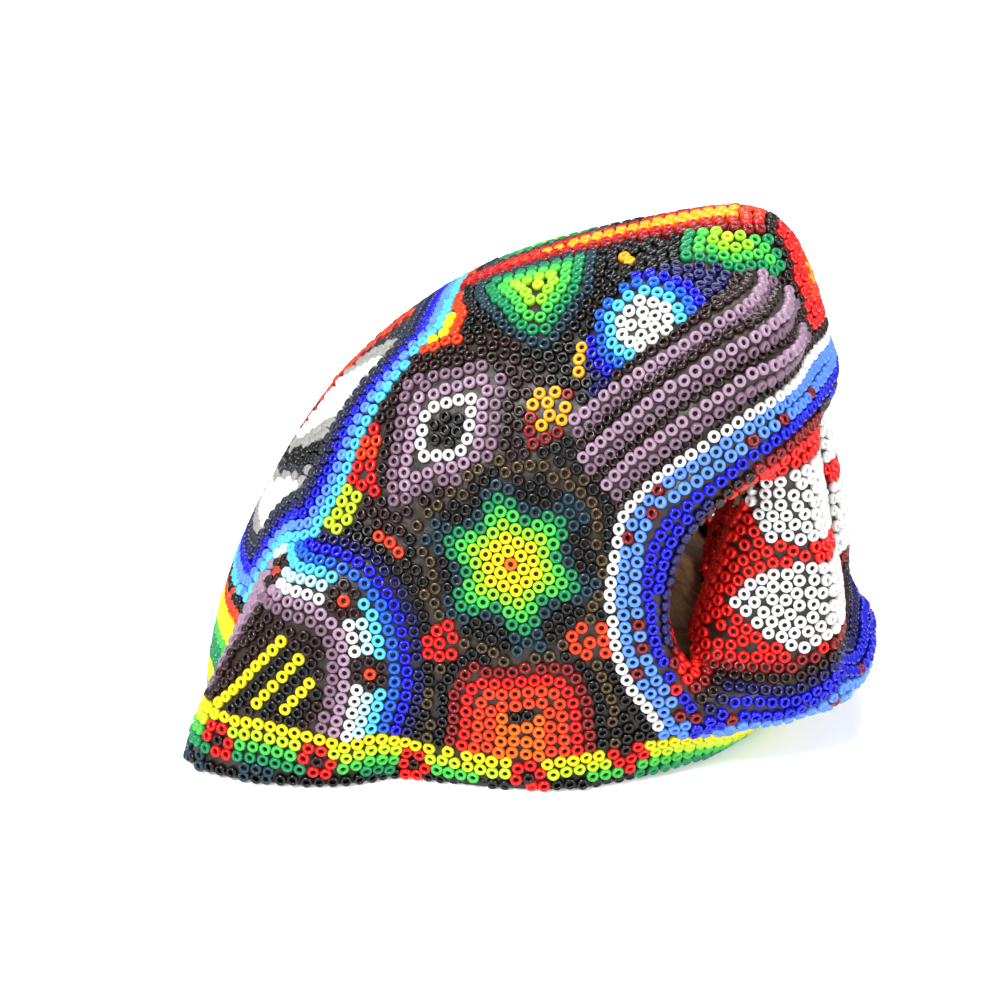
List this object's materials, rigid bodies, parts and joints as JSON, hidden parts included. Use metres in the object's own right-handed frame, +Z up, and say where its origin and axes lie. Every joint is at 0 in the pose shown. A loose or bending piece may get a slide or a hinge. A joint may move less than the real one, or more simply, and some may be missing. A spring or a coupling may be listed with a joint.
{
  "type": "huichol beaded figure",
  "caption": "Table-top carved wooden big cat head, roaring with open mouth and fangs, coated in wax and covered all over in small glass seed beads in bright Huichol motifs.",
  "frame": {"origin": "centre of the bounding box, on the flat base the head rests on", "axes": "+X to the snout, +Y to the animal's left cheek, +Z up; the side in the picture is -Y"},
  "size_m": [0.1144, 0.09, 0.0868],
  "materials": {
    "wood_head": "bare carved softwood, knife marks left in the mouth",
    "wax_coat": "dark beeswax and pine resin, satin",
    "rim_beads": "glossy opaque seed beads, yellow to dark green",
    "lip_beads": "glossy opaque seed beads, white, blues, brown and red",
    "crown_beads": "glossy opaque seed beads, white, grey, black and blues",
    "nape_beads": "glossy opaque seed beads, yellow, orange and green",
    "bridge_beads": "glossy opaque seed beads, red, orange and yellow",
    "nose_tip_beads": "glossy opaque seed beads, red, orange and yellow",
    "upper_fang_beads": "glossy opaque white seed beads",
    "lower_fang_beads": "glossy opaque white seed beads",
    "gum_beads": "glossy opaque red seed beads",
    "ear_beads": "glossy opaque seed beads, blues, lilac and brown",
    "whisker_beads": "glossy opaque seed beads, lilac and dark brown rows",
    "eye_beads": "glossy opaque seed beads, white, light and dark blue rings",
    "brow_beads": "glossy opaque seed beads, lime to dark green",
    "snout_beads": "glossy opaque seed beads, lime to dark green",
    "star_beads": "glossy opaque seed beads, yellow star with green rings",
    "diamond_beads": "glossy opaque seed beads, white, lilac, brown and black",
    "jewel_beads": "glossy opaque seed beads, dark red, red and orange",
    "crown_flower_beads": "glossy opaque seed beads, yellow and orange",
    "cheek_flower_beads": "glossy opaque seed beads, amber and dark red",
    "field_beads": "glossy opaque black seed beads"
  },
  "bodies": {
    "root": {"bridge_beads": "bridge_beads", "brow_beads_left": "brow_beads", "brow_beads_right": "brow_beads", "cheek_flower_beads_left": "cheek_flower_beads", "cheek_flower_beads_right": "cheek_flower_beads", "crown_beads": "crown_beads", "crown_flower_beads_left": "crown_flower_beads", "crown_flower_beads_right": "crown_flower_beads", "diamond_beads_left": "diamond_beads", "diamond_beads_right": "diamond_beads", "ear_beads_left": "ear_beads", "ear_beads_right": "ear_beads", "eye_beads_left": "eye_beads", "eye_beads_right": "eye_beads", "field_beads_left": "field_beads", "field_beads_right": "field_beads", "gum_beads_left": "gum_beads", "gum_beads_right": "gum_beads", "jewel_beads_left": "jewel_beads", "jewel_beads_right": "jewel_beads", "lip_beads": "lip_beads", "lower_fang_beads_left": "lower_fang_beads", "lower_fang_beads_right": "lower_fang_beads", "nape_beads": "nape_beads", "nose_tip_beads": "nose_tip_beads", "rim_beads": "rim_beads", "snout_beads_left": "snout_beads", "snout_beads_right": "snout_beads", "star_beads_left": "star_beads", "star_beads_right": "star_beads", "upper_fang_beads_left": "upper_fang_beads", "upper_fang_beads_right": "upper_fang_beads", "wax_coat": "wax_coat", "whisker_beads_left": "whisker_beads", "whisker_beads_right": "whisker_beads", "wood_head": "wood_head"}
  },
  "joints": []
}
